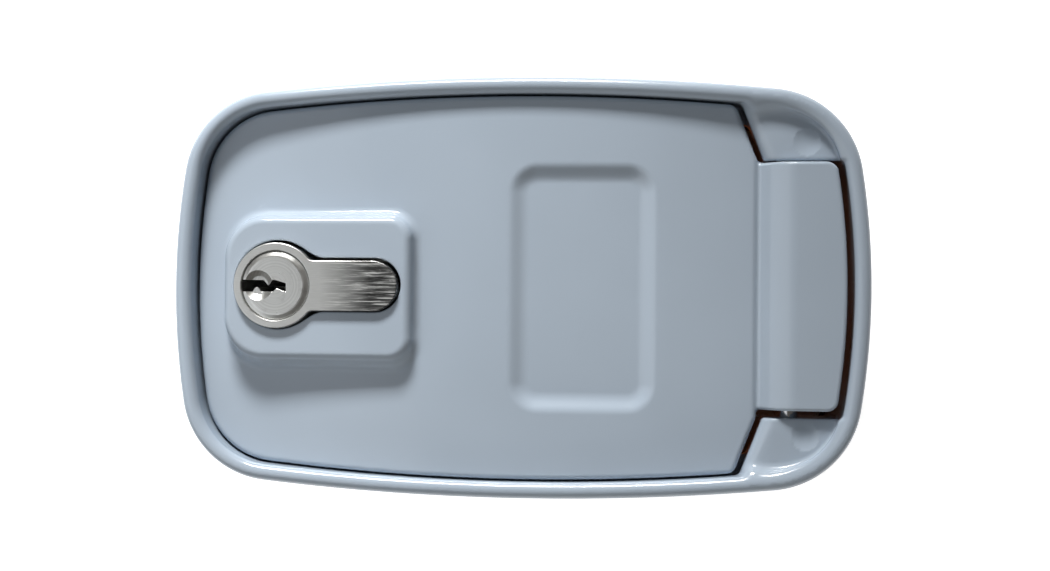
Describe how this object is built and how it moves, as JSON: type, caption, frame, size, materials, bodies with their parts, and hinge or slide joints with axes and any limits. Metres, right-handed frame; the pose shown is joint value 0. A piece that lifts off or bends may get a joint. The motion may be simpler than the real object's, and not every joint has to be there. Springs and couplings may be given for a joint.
{
  "type": "lockable key switch box",
  "caption": "Lockable die-cast control box: a hinged door with a profile key lock covers momentary up and down push buttons on an insulating panel.",
  "frame": {"origin": "middle of the flat back face, which lies on the wall", "axes": "+Z out of the wall towards the user, +Y up as installed, +X to the right seen from the front, towards the hinge"},
  "size_m": [0.138, 0.083, 0.0501],
  "materials": {
    "cast_paint": "gloss powder coat, pale grey with a blue cast",
    "nickel": "brushed nickel plate on brass",
    "zinc_steel": "zinc plate, slightly dull",
    "bright_steel": "bright drawn",
    "brass": "turned",
    "rubber": "matt",
    "phenolic": "brown phenolic laminate, satin",
    "black_plastic": "moulded, satin",
    "cream_plastic": "moulded, satin",
    "green_plastic": "moulded, gloss",
    "red_plastic": "moulded, gloss"
  },
  "bodies": {
    "box": {"housing": "cast_paint", "back_plate": "zinc_steel", "back_screws": "zinc_steel", "hinge_pin": "bright_steel", "pin_stop_screw": "zinc_steel", "back_gasket": "rubber", "door_gasket": "rubber", "cable_grommet": "rubber", "strike_plate": "zinc_steel", "strike_screws": "zinc_steel", "panel_standoffs": "brass", "control_panel": "phenolic", "panel_screws": "zinc_steel", "button_bushes": "black_plastic", "bush_nuts": "zinc_steel", "switch_brackets": "zinc_steel", "up_switch": "black_plastic", "down_switch": "black_plastic", "switch_terminals": "brass", "switch_screws": "zinc_steel", "terminal_block": "cream_plastic", "terminal_screws": "nickel", "block_screws": "zinc_steel", "up_spring": "bright_steel", "down_spring": "bright_steel"},
    "door": {"door": "cast_paint", "cylinder_body": "nickel", "chamber_plugs": "brass", "pin_springs": "bright_steel", "driver_pins": "brass", "cylinder_saddle": "zinc_steel", "cylinder_screw": "zinc_steel", "saddle_screws": "zinc_steel"},
    "lock_plug": {"plug": "nickel", "key_pins": "brass", "cam": "zinc_steel", "cam_circlip": "bright_steel"},
    "up_button": {"up_button": "green_plastic", "up_button_clip": "bright_steel"},
    "down_button": {"down_button": "red_plastic", "down_button_clip": "bright_steel"},
    "up_plunger": {"up_plunger": "red_plastic"},
    "down_plunger": {"down_plunger": "red_plastic"}
  },
  "joints": [
    {"name": "door_hinge", "type": "hinge", "parent": "box", "child": "door", "pos_m": [0.0535, 0, 0.0425], "axis": [0, 1, 0], "range_deg": [0, 105]},
    {"name": "key_turn", "type": "hinge", "parent": "door", "child": "lock_plug", "pos_m": [-0.0476, 0, 0.02], "axis": [0, 0, -1], "range_deg": [0, 90]},
    {"name": "up_press", "type": "slide", "parent": "box", "child": "up_button", "axis": [0, 0, -1], "range_m": [0, 0.0015], "stiffness_N_per_m": 900, "springref_m": -0.002, "deforming": ["up_spring"]},
    {"name": "down_press", "type": "slide", "parent": "box", "child": "down_button", "axis": [0, 0, -1], "range_m": [0, 0.0015], "stiffness_N_per_m": 900, "springref_m": -0.002, "deforming": ["down_spring"]},
    {"name": "up_switch_stroke", "type": "slide", "parent": "box", "child": "up_plunger", "axis": [0, 0, -1], "range_m": [0, 0.0015]},
    {"name": "down_switch_stroke", "type": "slide", "parent": "box", "child": "down_plunger", "axis": [0, 0, -1], "range_m": [0, 0.0015]}
  ],
  "couplings": [
    {"joint": "up_switch_stroke", "follows": "up_press", "ratio": 1},
    {"joint": "down_switch_stroke", "follows": "down_press", "ratio": 1}
  ]
}
